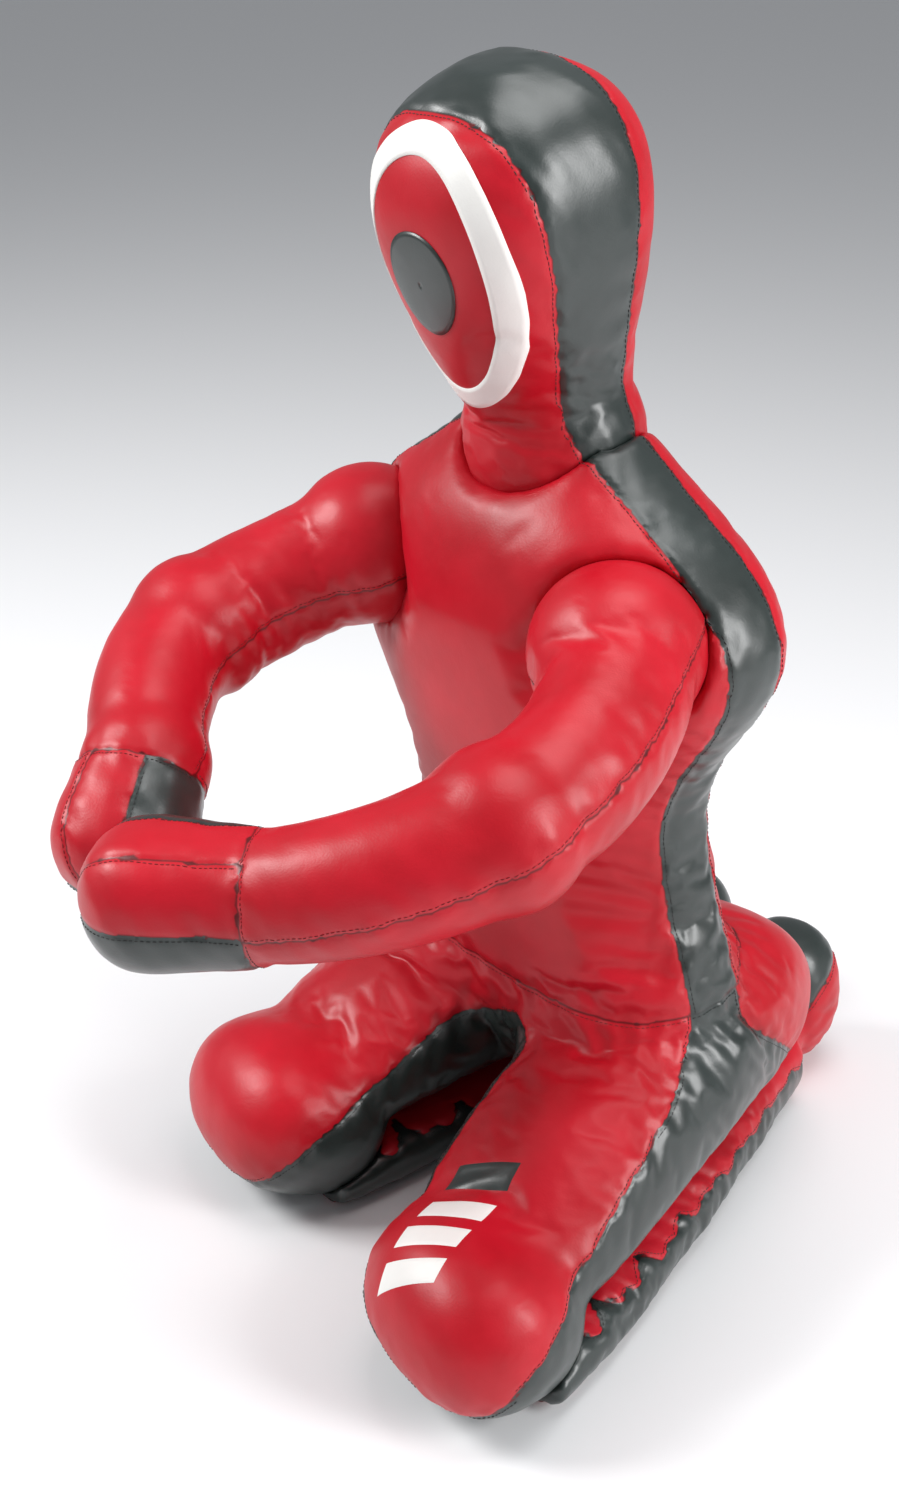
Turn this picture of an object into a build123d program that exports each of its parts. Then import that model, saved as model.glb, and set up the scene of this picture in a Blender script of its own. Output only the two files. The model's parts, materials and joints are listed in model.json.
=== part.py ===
from build123d import *
import os
from math import cos, sin, pi, copysign, radians

# Kneeling grappling dummy: a stuffed synthetic-leather figure sitting on its heels.
# Millimetres, +Z up, standing on z = 0. It faces -Y, and its own left side is +X.
# Every limb is a stuffing core inside sewn cover panels; a ball of the one limb turns
# in a cup of the next, so that the seams between limbs can flex.

# ---- cover and joints -------------------------------------------------------------
COVER = 1.5          # synthetic leather of the cover
SLACK = 1.0          # air between a cover and its stuffing
JOINT_GAP = 1.0      # between a ball and the cup that it turns in
SEAM_HALF = 0.4      # each cover panel ends this far from its seam line
SECTION_POINTS = 16  # points on a closed section of a limb

# The shapes below are drawn about the middle of the waist. Saving moves them, so that
# the origin is the middle of the finished figure's base.
BASE_MIDDLE = (7.0, -108.8, 0)

# ---- trunk ------------------------------------------------------------------------
TRUNK_LEAN = 4.0     # forward lean of the trunk, degrees
WAIST_SEAM = (0, 7, 265)
TRUNK_LENGTH = 530   # waist seam to neck seam
BAND_HALF = 40       # half the width of the dark side bands
WAIST_RADIUS = 124   # cylinder that the trunk bends on
WAIST_DROP = 32      # its axis, below the waist seam
TRUNK_SQUARENESS = 2.6
# share of the trunk's length, half width, depth in front, depth behind
TRUNK_STATIONS = (
    (-0.14, 196, 112, 92),
    (0.0, 200, 112, 82),
    (0.15, 178, 105, 72),
    (0.3, 163, 105, 70),
    (0.5, 197, 113, 84),
    (0.7, 243, 116, 98),
    (0.8, 212, 110, 92),
    (0.9, 140, 84, 76),
    (1.0, 70, 60, 57),
)

# ---- head -------------------------------------------------------------------------
HEAD_LEAN = 12.4     # forward lean of the head, degrees
HEAD_HEIGHT = 304    # neck seam to crown
NECK_RADIUS = 80     # ball that the head nods on
NECK_DROP = 22       # its centre, below the neck seam
HEAD_SQUARENESS = 2.7
HEAD_BAND_HALF = 48  # half the width of the dark band over the head
# share of the head's height, half width, depth in front, depth behind
HEAD_STATIONS = (
    (-0.07, 70, 58, 56),
    (0.0, 68, 60, 57),
    (0.25, 77, 92, 78),
    (0.45, 94, 109, 90),
    (0.62, 103, 113, 94),
    (0.8, 95, 101, 87),
    (0.92, 68, 71, 62),
    (0.985, 32, 33, 29),
)
RING_HEIGHT = 158            # middle of the target, above the neck seam
RING_HALF = (87, 116)        # half width and half height of the white ring
RING_WIDTH = 17
DISC_HALF = (36, 44)
PATCH = 1.2                  # thickness of the sewn-on ring and disc

# ---- arms, from the shoulder to the wrist ----------------------------------------
ARM_PATHS = {
    "left": ((162, -106, 643), (224, -196, 608), (232, -312, 576), (174, -398, 543), (96, -443, 515)),
    "right": ((-162, -106, 641), (-208, -190, 605), (-220, -272, 579), (-172, -347, 551), (-121, -388, 524)),
}
ARM_RADII = (65, 61, 60, 56, 51)
ELBOW_AT = 0.5       # share of the path where the arm bends
BALL_RATIO = 1.13    # a joint's ball against the limb's radius
SEAM_DROP = 0.25     # arm seam below the arm's middle, against its radius
HAND_WAYS = {"left": (-0.79, -0.60, -0.08), "right": (0.46, -0.66, -0.59)}
HAND_LENGTH = 128
# share of the hand's length, half size against the hand's radius
HAND_RADIUS = 60
PALM_DEPTH = 24      # palm seams below and behind the middle of the hand
RIDGE_OFFSET = 16
HAND_STATIONS = ((-0.04, 0.85), (0.15, 0.93), (0.5, 1.0), (0.75, 0.92), (0.92, 0.64), (1.0, 0.3))

# ---- legs, folded under the trunk -------------------------------------------------
KNEE_RADIUS = 82
KNEES = {"left": (196, -288, KNEE_RADIUS), "right": (-136, -243, KNEE_RADIUS)}
HEELS = {"left": (72, 218, 0), "right": (-98, 218, 0)}
KNEE_HALF_LENGTH = 103
KNEE_END_RADIUS = 14          # small flat disc at each end of the round knee
KNEE_SQUARENESS = 2.5
THIGH_SQUARENESS = 2.7
SHIN_SQUARENESS = 3.2
SHIN_SEAMS = (12, 44)         # heights of the seams beside the shin's front and its calf
FLAT_DEPTH = 1.0              # pressed flat on the floor by this much
FRONT_SEAM_START = (-70, 8)   # along the leg from the knee's axis, height
FRONT_SEAM_END = (460, 226)
# share of the knee-to-heel length, half width, underside, top
THIGH_STATIONS = (
    (0.0, 72, 66, 146),
    (0.14, 95, 63, 183),
    (0.38, 99, 68, 230),
    (0.6, 98, 76, 264),
    (0.76, 94, 82, 272),
    (0.88, 84, 88, 250),
    (0.96, 64, 100, 210),
)
# share of the knee-to-heel length, half width, top: the top keeps clear of the thigh
SHIN_STATIONS = (
    (-0.02, 98, 60),
    (0.2, 100, 61.5),
    (0.38, 94, 66),
    (0.6, 84, 74),
    (0.8, 72, 82),
    (1.0, 62, 86),
)
ANKLE_RADIUS = 50
FOOT_OFFSET = 58     # middle of the foot, behind the ankle
# height, half width, half thickness
FOOT_STATIONS = ((10, 28, 26), (28, 46, 42), (60, 56, 50), (100, 58, 52), (135, 50, 46), (155, 34, 32), (163, 16, 15))

# ---- back zip ---------------------------------------------------------------------
ZIP_ENDS = ((75, 160), (103, 360))   # depth behind the trunk's axis, height above the waist seam
ZIP_HALF_WIDTH = 14
SLIDER_TOP = 6               # closed slider, below the zip's upper end
SLIDER_SIZE = (11, 7, 26)    # width, thickness, length of slider and pull

SIDES = {"left": 1, "right": -1}


# ---- helpers ----------------------------------------------------------------------
def section(plane, half_width, front, back, squareness):
    """A closed rounded section; the plane's y points to the back."""
    points = []
    for step in range(SECTION_POINTS):
        angle = 2 * pi * step / SECTION_POINTS
        along, across = cos(angle), sin(angle)
        x = half_width * copysign(abs(along) ** (2 / squareness), along)
        depth = back if across > 0 else front
        y = depth * copysign(abs(across) ** (2 / squareness), across)
        points.append(plane.from_local_coords((x, y, 0)))
    return Wire(Spline(*points, periodic=True))


def ball(centre, radius, turn=90):
    """A ball, turned about +Z so that its own seam line misses that of the loft it joins."""
    return Pos(*centre) * Rot(0, 0, turn) * Sphere(radius)


def half_space(plane, gap=SEAM_HALF):
    """A large block on the side that the plane's normal points to, from gap beyond it."""
    size = 2400
    return plane * Pos(0, 0, size / 2 + gap) * Box(size, size, size)


def opposite(plane):
    return Plane(plane.origin, x_dir=plane.x_dir, z_dir=plane.z_dir * -1)


def main_solid(shape):
    """The shape's largest solid, without the slivers that a cut can leave."""
    return max(shape.solids(), key=lambda solid: solid.volume)


def save(name, shape, colour):
    node = main_solid(shape)
    if node.volume < 100:
        raise ValueError(f"{name} has no volume")
    node = Pos(*BASE_MIDDLE).inverse() * node
    node.label = name
    node.color = Color(*colour)
    export_step(node, f"parts/{name}.step")


RED = (0.70, 0.04, 0.09)
DARK = (0.07, 0.09, 0.09)
WHITE = (0.92, 0.92, 0.90)
FOAM = (0.80, 0.76, 0.66)
METAL = (0.75, 0.62, 0.35)


def unit(vector):
    return Vector(*vector).normalized()


# ---- trunk frame ------------------------------------------------------------------
def leaning_frame(origin, lean):
    """Plane whose normal is the leaning axis, x to the dummy's left, y to its back."""
    axis = Vector(0, -sin(radians(lean)), cos(radians(lean)))
    return Plane(origin=origin, x_dir=(1, 0, 0), z_dir=axis)


def leaning_tube(frame, stations, length, squareness, inset, tip_inset=0):
    wires = []
    for share, half_width, front, back in stations:
        height = share * length
        if share > 0.9:
            height -= tip_inset
        level = Plane(frame.from_local_coords((0, 0, height)), x_dir=frame.x_dir, z_dir=frame.z_dir)
        wires.append(section(level, half_width - inset, front - inset, back - inset, squareness))
    return Solid.make_loft(wires)


trunk = leaning_frame(WAIST_SEAM, TRUNK_LEAN)
neck_seam = trunk.from_local_coords((0, 0, TRUNK_LENGTH))
neck_pivot = trunk.from_local_coords((0, 0, TRUNK_LENGTH - NECK_DROP))
waist_pivot = trunk.from_local_coords((0, 0, -WAIST_DROP))
head = leaning_frame(neck_seam, HEAD_LEAN)


def depth_plane(frame, depth, facing):
    """Plane across the frame at a depth behind its axis; facing is 1 for back, -1 for front."""
    return Plane(frame.from_local_coords((0, depth, 0)), x_dir=frame.x_dir, z_dir=frame.y_dir * facing)


def waist_cylinder(radius):
    return Pos(*waist_pivot) * Rot(0, 90, 0) * Cylinder(radius, 900)


# ---- arm geometry -----------------------------------------------------------------
def arm_frame(path, share):
    """Section plane of an arm: normal along the arm, y upwards."""
    along = (path % share).normalized()
    across = Vector(0, 0, 1).cross(along).normalized()
    return Plane(path @ share, x_dir=across, z_dir=along)


def arm_radius(share):
    place = share * (len(ARM_RADII) - 1)
    index = min(int(place), len(ARM_RADII) - 2)
    return ARM_RADII[index] + (ARM_RADII[index + 1] - ARM_RADII[index]) * (place - index)


def arm_tube(path, start, end, inset):
    steps = 5
    wires = []
    for step in range(steps):
        share = start + (end - start) * step / (steps - 1)
        radius = arm_radius(share) - inset
        wires.append(section(arm_frame(path, share), radius, radius, radius, 2))
    return Solid.make_loft(wires)


def panel(outside, inside, *planes):
    """The cover between two bodies, on the side that each seam plane's normal points to."""
    for plane in planes:
        outside = outside & half_space(plane)
    return outside - inside


def limb(tube, ball_centre, ball_radius, cup_centre, cup_radius):
    """Outside of the cover, its inside, and the stuffing: a tube with a ball, less the next cup."""
    def grown(inset):
        return tube(inset) + ball(ball_centre, ball_radius - inset)

    cup = ball(cup_centre, cup_radius + JOINT_GAP)
    return grown(0) - cup, grown(COVER), grown(COVER + SLACK) - cup


SHOULDER_RADIUS = ARM_RADII[0] * BALL_RATIO + 2
ELBOW_RADIUS = arm_radius(ELBOW_AT) * BALL_RATIO
WRIST_RADIUS = ARM_RADII[-1] * BALL_RATIO
arm_paths = {side: Spline(*ARM_PATHS[side]) for side in SIDES}


def arm_seam(side):
    """Plane of the two long seams of an arm, a little under its middle; normal upwards."""
    path = arm_paths[side]
    shoulder, elbow, wrist = path @ 0, path @ ELBOW_AT, path @ 1
    normal = (elbow - shoulder).cross(wrist - elbow).normalized()
    if normal.Z < 0:
        normal = normal * -1
    return Plane(elbow - normal * (SEAM_DROP * ELBOW_RADIUS), z_dir=normal)


def build_arm(side):
    path = arm_paths[side]
    shoulder, elbow, wrist = path @ 0, path @ ELBOW_AT, path @ 1
    seam = arm_seam(side)
    spans = {
        "upper_arm": (0.0, ELBOW_AT, shoulder, SHOULDER_RADIUS, elbow, ELBOW_RADIUS),
        "forearm": (ELBOW_AT, 1.0, elbow, ELBOW_RADIUS, wrist, WRIST_RADIUS),
    }
    for name, (start, end, *joints) in spans.items():
        outside, inside, stuffing = limb(lambda inset: arm_tube(path, start, end, inset), *joints)
        save(f"{side}_{name}_stuffing", stuffing, FOAM)
        save(f"{side}_{name}_top_panel", panel(outside, inside, seam), RED)
        save(f"{side}_{name}_under_panel", panel(outside, inside, opposite(seam)), RED)
    build_hand(side, wrist)


# ---- hands ------------------------------------------------------------------------
def hand_frame(side, wrist, along_by):
    way = unit(HAND_WAYS[side])
    across = Vector(0, 0, 1).cross(way).normalized()
    return Plane(wrist + way * along_by, x_dir=across, z_dir=way)


def hand_body(side, wrist, inset):
    wires = []
    for share, size in HAND_STATIONS:
        reach = share * HAND_LENGTH
        if share > 0.9:
            reach -= inset
        half = HAND_RADIUS * size - inset
        wires.append(section(hand_frame(side, wrist, reach), half, half, half, 2.4))
    return Solid.make_loft(wires) + ball(wrist, WRIST_RADIUS - inset)


def build_hand(side, wrist):
    """The palm is underneath and towards the trunk; a ridge seam parts the two red panels."""
    outside, inside = hand_body(side, wrist, 0), hand_body(side, wrist, COVER)
    frame = hand_frame(side, wrist, 0)
    up = frame.y_dir
    away = frame.x_dir if frame.x_dir.Y < 0 else frame.x_dir * -1
    low_seam = Plane(frame.origin - up * PALM_DEPTH, z_dir=up)
    inner_seam = Plane(frame.origin - away * PALM_DEPTH, z_dir=away)
    ridge = Plane(frame.origin + (up + away) * RIDGE_OFFSET, z_dir=(up - away * 0.6).normalized())
    save(f"{side}_hand_stuffing", hand_body(side, wrist, COVER + SLACK), FOAM)
    save(f"{side}_hand_top_panel", panel(outside, inside, low_seam, inner_seam, ridge), RED)
    save(f"{side}_hand_outer_panel", panel(outside, inside, low_seam, inner_seam, opposite(ridge)), RED)
    red_part = half_space(low_seam, -SEAM_HALF) & half_space(inner_seam, -SEAM_HALF)
    save(f"{side}_hand_palm_panel", outside - red_part - inside, DARK)


# ---- legs -------------------------------------------------------------------------
knee_line = (Vector(*KNEES["left"]) - Vector(*KNEES["right"])).normalized()


def knee_barrel(side, extra):
    """Round knee, turned about the line through both knees."""
    half_length = KNEE_HALF_LENGTH + extra
    radius = KNEE_RADIUS + extra
    steps = 10
    points = []
    for step in range(steps + 1):
        angle = pi * step / steps
        x = -half_length * copysign(abs(cos(angle)) ** (2 / KNEE_SQUARENESS), cos(angle))
        out = radius * abs(sin(angle)) ** (2 / KNEE_SQUARENESS)
        points.append((x, max(out, KNEE_END_RADIUS)))
    corners = (points[-1], (half_length, 0), (-half_length, 0), points[0])
    closing = [Line(start, end) for start, end in zip(corners, corners[1:])]
    outline = Wire([Spline(*points), *closing])
    knee = Plane(KNEES[side], x_dir=knee_line, z_dir=(0, 0, 1))
    return knee * revolve(Face(outline), Axis.X)


def leg_frame(side, along_by):
    """Section plane of a leg: normal from the knee to the heel, y upwards."""
    knee = Vector(KNEES[side][0], KNEES[side][1], 0)
    way = (Vector(*HEELS[side]) - knee).normalized()
    across = Vector(0, 0, 1).cross(way).normalized()
    return Plane(knee + way * along_by, x_dir=across, z_dir=way)


def leg_length(side):
    knee = Vector(KNEES[side][0], KNEES[side][1], 0)
    return (Vector(*HEELS[side]) - knee).length


def leg_loft(side, stations, inset, squareness):
    wires = []
    last = stations[-1][0]
    for share, half_width, low, high in stations:
        along_by = share * leg_length(side)
        if share == last:
            along_by -= inset
        frame = leg_frame(side, along_by)
        level = Plane(
            frame.from_local_coords((0, (low + high) / 2, 0)), x_dir=frame.x_dir, z_dir=frame.z_dir
        )
        half_height = (high - low) / 2 - inset
        wires.append(section(level, half_width - inset, half_height, half_height, squareness))
    return Solid.make_loft(wires)


def thigh_body(side, inset):
    return knee_barrel(side, -inset) + leg_loft(side, THIGH_STATIONS, inset, THIGH_SQUARENESS)


def ankle_centre(side):
    return leg_frame(side, leg_length(side)).from_local_coords((0, ANKLE_RADIUS, 0))


def leg_middle(side):
    """Upright plane along a leg; its normal points to the leg's outer side."""
    frame = leg_frame(side, 0)
    outwards = frame.x_dir if frame.x_dir.X * SIDES[side] > 0 else frame.x_dir * -1
    return Plane(frame.origin, z_dir=outwards)


def front_seam(side):
    """Plane of the seams beside the red front of a thigh; normal forwards and up."""
    frame = leg_frame(side, 0)
    start = frame.from_local_coords((0, FRONT_SEAM_START[1], FRONT_SEAM_START[0]))
    end = frame.from_local_coords((0, FRONT_SEAM_END[1], FRONT_SEAM_END[0]))
    return Plane(start, z_dir=(end - start).cross(frame.x_dir).normalized())


def build_thigh(side):
    outer, front = leg_middle(side), front_seam(side)
    outside, inside = thigh_body(side, 0), thigh_body(side, COVER)
    save(f"{side}_thigh_stuffing", thigh_body(side, COVER + SLACK), FOAM)
    save(f"{side}_thigh_front_panel", panel(outside, inside, front), RED)
    save(f"{side}_thigh_outer_gusset", panel(outside, inside, opposite(front), outer), DARK)
    save(f"{side}_thigh_inner_gusset", panel(outside, inside, opposite(front), opposite(outer)), DARK)


def build_shin(side):
    """The shin lies on the floor, hollowed to clear the knee and the thigh above it."""
    outer = leg_middle(side)
    clear = knee_barrel(side, JOINT_GAP) + ball(ankle_centre(side), ANKLE_RADIUS + JOINT_GAP)
    stations = [(share, half_width, 0, high) for share, half_width, high in SHIN_STATIONS]
    sunk = [(share, half_width, -FLAT_DEPTH, high) for share, half_width, high in SHIN_STATIONS]
    above_floor = half_space(Plane.XY, 0)
    outside = (leg_loft(side, sunk, 0, SHIN_SQUARENESS) & above_floor) - clear
    inside = leg_loft(side, stations, COVER, SHIN_SQUARENESS)
    stuffing = leg_loft(side, stations, COVER + SLACK, SHIN_SQUARENESS) - clear
    floor_seam = Plane((0, 0, SHIN_SEAMS[0]), z_dir=(0, 0, -1))
    calf_seam = Plane((0, 0, SHIN_SEAMS[1]), z_dir=(0, 0, 1))
    sides = (opposite(floor_seam), opposite(calf_seam))
    save(f"{side}_shin_stuffing", stuffing, FOAM)
    save(f"{side}_shin_front_panel", panel(outside, inside, floor_seam), RED)
    save(f"{side}_calf_strip", panel(outside, inside, calf_seam), RED)
    save(f"{side}_shin_outer_gusset", panel(outside, inside, *sides, outer), DARK)
    save(f"{side}_shin_inner_gusset", panel(outside, inside, *sides, opposite(outer)), DARK)


def foot_body(side, inset):
    centre = leg_frame(side, leg_length(side) + FOOT_OFFSET)
    low, high = FOOT_STATIONS[0][0], FOOT_STATIONS[-1][0]
    wires = []
    for height, half_width, half_thickness in FOOT_STATIONS:
        level_height = min(max(height, low + inset), high - inset)
        level = Plane(
            centre.from_local_coords((0, level_height, 0)), x_dir=centre.x_dir, z_dir=(0, 0, 1)
        )
        wires.append(section(level, half_width - inset, half_thickness - inset, half_thickness - inset, 2.3))
    return ball(ankle_centre(side), ANKLE_RADIUS - inset, turn=0) + Solid.make_loft(wires)


def build_foot(side):
    frame = leg_frame(side, leg_length(side) + FOOT_OFFSET)
    outside, inside = foot_body(side, 0), foot_body(side, COVER)
    seam = Plane(
        frame.from_local_coords((0, 20, -10)), z_dir=(frame.z_dir * 0.8 - Vector(0, 0, 0.6)).normalized()
    )
    save(f"{side}_foot_stuffing", foot_body(side, COVER + SLACK), FOAM)
    save(f"{side}_foot_red_panel", panel(outside, inside, seam), RED)
    save(f"{side}_foot_dark_panel", panel(outside, inside, opposite(seam)), DARK)


# ---- pelvis -----------------------------------------------------------------------
SEAT_SEAM_DEPTH = 20
PELVIS_STATIONS = (
    (-0.30, 120, 60, 112),
    (-0.22, 165, 86, 128),
    (-0.13, 190, 106, 118),
    (-0.05, 200, 114, 96),
    (0.0, 200, 112, 82),
    (0.15, 178, 105, 72),
    (0.3, 163, 105, 70),
)


def pelvis_body(inset):
    tube = leaning_tube(trunk, PELVIS_STATIONS, TRUNK_LENGTH, TRUNK_SQUARENESS, inset)
    below = half_space(Plane(waist_pivot, z_dir=trunk.z_dir * -1), 0)
    return tube & (waist_cylinder(WAIST_RADIUS - inset) + below)


def build_pelvis():
    behind = depth_plane(trunk, SEAT_SEAM_DEPTH, 1)
    pieces = {
        "pelvis_stuffing": (pelvis_body(COVER + SLACK), FOAM),
        "seat_panel": (panel(pelvis_body(0), pelvis_body(COVER), behind), RED),
        "hip_front_panel": (panel(pelvis_body(0), pelvis_body(COVER), opposite(behind)), RED),
    }
    for name, (piece, colour) in pieces.items():
        for side in SIDES:
            piece -= leg_loft(side, THIGH_STATIONS, -SEAM_HALF, THIGH_SQUARENESS)
        save(name, piece, colour)


# ---- torso ------------------------------------------------------------------------
def torso_body(inset):
    return leaning_tube(trunk, TRUNK_STATIONS, TRUNK_LENGTH, TRUNK_SQUARENESS, inset)


def torso_cut(inset):
    """The trunk above the waist, with the cups that the pelvis, head and arms turn in."""
    body = torso_body(inset) - half_space(Plane(waist_pivot, z_dir=trunk.z_dir * -1), 0)
    body -= waist_cylinder(WAIST_RADIUS + JOINT_GAP)
    body -= ball(neck_pivot, NECK_RADIUS + JOINT_GAP)
    for side in SIDES:
        body -= ball(arm_paths[side] @ 0, SHOULDER_RADIUS + JOINT_GAP)
    return body


def build_torso():
    outside, inside = torso_cut(0), torso_body(COVER)
    front, back = depth_plane(trunk, -BAND_HALF, -1), depth_plane(trunk, BAND_HALF, 1)
    save("torso_stuffing", torso_cut(COVER + SLACK), FOAM)
    save("chest_panel", panel(outside, inside, front), RED)
    save("back_panel", panel(outside, inside, back), RED)
    for side, sign in SIDES.items():
        beside = Plane((0, 0, 0), z_dir=(sign, 0, 0))
        band = panel(outside, inside, opposite(front), opposite(back), beside)
        save(f"torso_{side}_band", band, DARK)


def zip_frame():
    """Plane at the zip's lower end: normal up the zip, y out of the back."""
    low, high = (trunk.from_local_coords((0, depth, height)) for depth, height in ZIP_ENDS)
    return Plane(low, x_dir=trunk.x_dir, z_dir=high - low), (high - low).length


def build_zip():
    frame, length = zip_frame()
    tape = frame * Pos(0, -10, length / 2) * Box(2 * ZIP_HALF_WIDTH, 20, length)
    save("back_zip", tape - torso_body(-SEAM_HALF), DARK)
    width, thickness, height = SLIDER_SIZE
    slider = Box(width, thickness, height) - Pos(0, 0, -height / 4) * Box(width / 2.4, 2 * thickness, height / 4)
    top = length - height / 2 - SLIDER_TOP
    save("zip_slider", frame * Pos(0, SEAM_HALF + thickness / 2, top) * slider, METAL)


# ---- head -------------------------------------------------------------------------
def head_tube(inset):
    return leaning_tube(head, HEAD_STATIONS, HEAD_HEIGHT, HEAD_SQUARENESS, inset, tip_inset=inset)


def head_body(inset):
    return head_tube(inset) + ball(neck_pivot, NECK_RADIUS - inset)


def face_prism(half_width, half_height):
    """Oval column through the face, along the head's front-to-back direction."""
    face = Plane(head.from_local_coords((0, 0, RING_HEIGHT)), x_dir=head.x_dir, z_dir=head.y_dir * -1)
    return face * extrude(Ellipse(half_width, half_height), 400)


def build_head():
    outside, inside = head_body(0), head_body(COVER)
    front, back = depth_plane(head, -HEAD_BAND_HALF, -1), depth_plane(head, HEAD_BAND_HALF, 1)
    save("head_stuffing", head_body(COVER + SLACK), FOAM)
    save("face_panel", panel(outside, inside, front), RED)
    save("head_back_panel", panel(outside, inside, back), RED)
    save("head_side_band", panel(outside, inside, opposite(front), opposite(back)), DARK)
    patch_outside, patch_inside = head_tube(-PATCH - SEAM_HALF), head_tube(-SEAM_HALF)
    half_width, half_height = RING_HALF
    ring = face_prism(half_width, half_height)
    ring -= face_prism(half_width - RING_WIDTH, half_height - RING_WIDTH)
    save("face_target_ring", (patch_outside & ring) - patch_inside, WHITE)
    save("face_target_disc", (patch_outside & face_prism(*DISC_HALF)) - patch_inside, DARK)


os.makedirs("parts", exist_ok=True)
build_torso()
build_head()
build_pelvis()
build_zip()
for limb_side in SIDES:
    build_arm(limb_side)
    build_thigh(limb_side)
    build_shin(limb_side)
    build_foot(limb_side)
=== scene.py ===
import json
import math

import bmesh
import bpy
import numpy as np
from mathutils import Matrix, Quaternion, Vector
from mathutils.bvhtree import BVHTree
from mathutils.kdtree import KDTree


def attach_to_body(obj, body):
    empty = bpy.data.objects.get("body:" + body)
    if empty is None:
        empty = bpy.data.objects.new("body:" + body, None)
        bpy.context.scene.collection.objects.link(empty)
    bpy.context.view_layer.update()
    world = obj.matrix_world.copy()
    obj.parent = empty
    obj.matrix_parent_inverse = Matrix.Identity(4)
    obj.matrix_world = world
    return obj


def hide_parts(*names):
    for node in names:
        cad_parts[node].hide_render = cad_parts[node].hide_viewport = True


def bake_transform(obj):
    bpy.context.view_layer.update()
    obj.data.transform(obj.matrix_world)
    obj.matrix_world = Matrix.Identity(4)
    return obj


# Kneeling grappling dummy: stuffed skins of red and near-black synthetic leather round the
# CAD stuffing. Metres, +Z up, facing -Y; the dummy's own left side is +X.

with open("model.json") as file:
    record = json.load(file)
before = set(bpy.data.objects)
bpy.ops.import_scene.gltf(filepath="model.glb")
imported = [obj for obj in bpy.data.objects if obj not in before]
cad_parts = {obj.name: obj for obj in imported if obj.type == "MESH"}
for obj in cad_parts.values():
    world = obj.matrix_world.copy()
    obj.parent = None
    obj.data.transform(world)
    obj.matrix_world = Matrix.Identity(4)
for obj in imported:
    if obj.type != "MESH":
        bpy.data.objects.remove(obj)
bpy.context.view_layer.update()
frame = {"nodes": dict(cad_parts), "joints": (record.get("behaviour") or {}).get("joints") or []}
JOINTS = {joint["name"]: joint for joint in frame["joints"]}

VOXEL = 0.005        # remesh size of the skins
COVER = 0.0026       # outside of the cover, from the stuffing
FRAMES = 14          # cloth steps
PRESSURE = 3.2
TAUT, LOOSE = -0.004, -0.055    # share by which the cover is cut too large, where tight and where gathered
CAP = 0.0075         # furthest that a point of the cover may move

# seams of the trunk: depth from its axis, behind is positive
TRUNK_LEAN = math.radians(4.0)
TRUNK_FOOT = Vector((-0.007, 0.1158, 0.265))
BAND_FRONT, BAND_BACK = -0.034, 0.029
HEAD_LEAN = math.radians(12.4)
HEAD_FOOT = Vector((-0.007, 0.0788, 0.7937))
HEAD_FRONT = (-0.038, -0.105)      # depth at the neck, and its change per metre upwards
HEAD_BACK = (0.026, 0.06)
RING = (0.082, 0.118, 0.020)       # half width, half height, width of the white ring
DISC = (0.036, 0.044)
TARGET_HEIGHT = 0.158
# seams of a leg: distance behind the knee, height
FRONT_SEAM = ((-0.104, -0.02), (-0.092, 0.010), (-0.086, 0.045), (-0.064, 0.084), (-0.028, 0.110),
              (0.035, 0.133), (0.090, 0.163), (0.170, 0.197), (0.232, 0.228), (0.252, 0.252), (0.262, 0.300))
SEAT_SEAM = ((0.55, 0.03), (0.475, 0.066), (0.445, 0.105), (0.399, 0.153), (0.340, 0.205),
             (0.318, 0.234), (0.314, 0.300))
KNEE_FULL = 0.018    # how far the knees' fronts are filled out
KNEES = {side: Vector(JOINTS[f"{side}_knee"]["pos_m"]) for side in ("left", "right")}
ANKLES = {side: Vector(JOINTS[f"{side}_ankle"]["pos_m"]) for side in ("left", "right")}
SHIN_SEAMS = (0.006, 0.053)
WRIST_SEAM = {"left": -0.018, "right": 0.014}
HAND_WAYS = {"left": (-0.79, -0.60, -0.08), "right": (0.46, -0.66, -0.59)}
PALM_LOW, PALM_INNER = 0.003, 0.020    # from the wrist point down, and inwards, to the palm's edge
SIGN = {"left": 1, "right": -1}
Z = Vector((0, 0, 1))


# ---- coordinates ------------------------------------------------------------------
def dots(points, origin, way):
    return (points - np.array(origin)) @ np.array(way)


def leaning(lean):
    """Axis and depth direction of a part that leans forwards."""
    return Vector((0, -math.sin(lean), math.cos(lean))), Vector((0, math.cos(lean), math.sin(lean)))


TRUNK_AXIS, TRUNK_DEPTH = leaning(TRUNK_LEAN)
HEAD_AXIS, HEAD_DEPTH = leaning(HEAD_LEAN)


def leg_ways(side):
    """Directions along a leg, from the knee to the heel, and out of its outer side."""
    way = (ANKLES[side] - KNEES[side])
    way.z = 0
    way.normalize()
    outer = Vector((way.y, -way.x, 0)) * SIGN[side]
    return way, outer


LEGS = {side: leg_ways(side) for side in SIGN}


def smooth(low, high, x):
    t = np.clip((x - low) / (high - low), 0, 1)
    return t * t * (3 - 2 * t)


def leg_along(points):
    """Distance behind the knee, turning from the right leg's to the left leg's between them."""
    left = dots(points, KNEES["left"], LEGS["left"][0])
    right = dots(points, KNEES["right"], LEGS["right"][0])
    middle = 0.023 - 0.089 * (points[:, 1] + 0.157)
    share = smooth(-0.035, 0.035, points[:, 0] - middle)
    return right * (1 - share) + left * share


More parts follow.
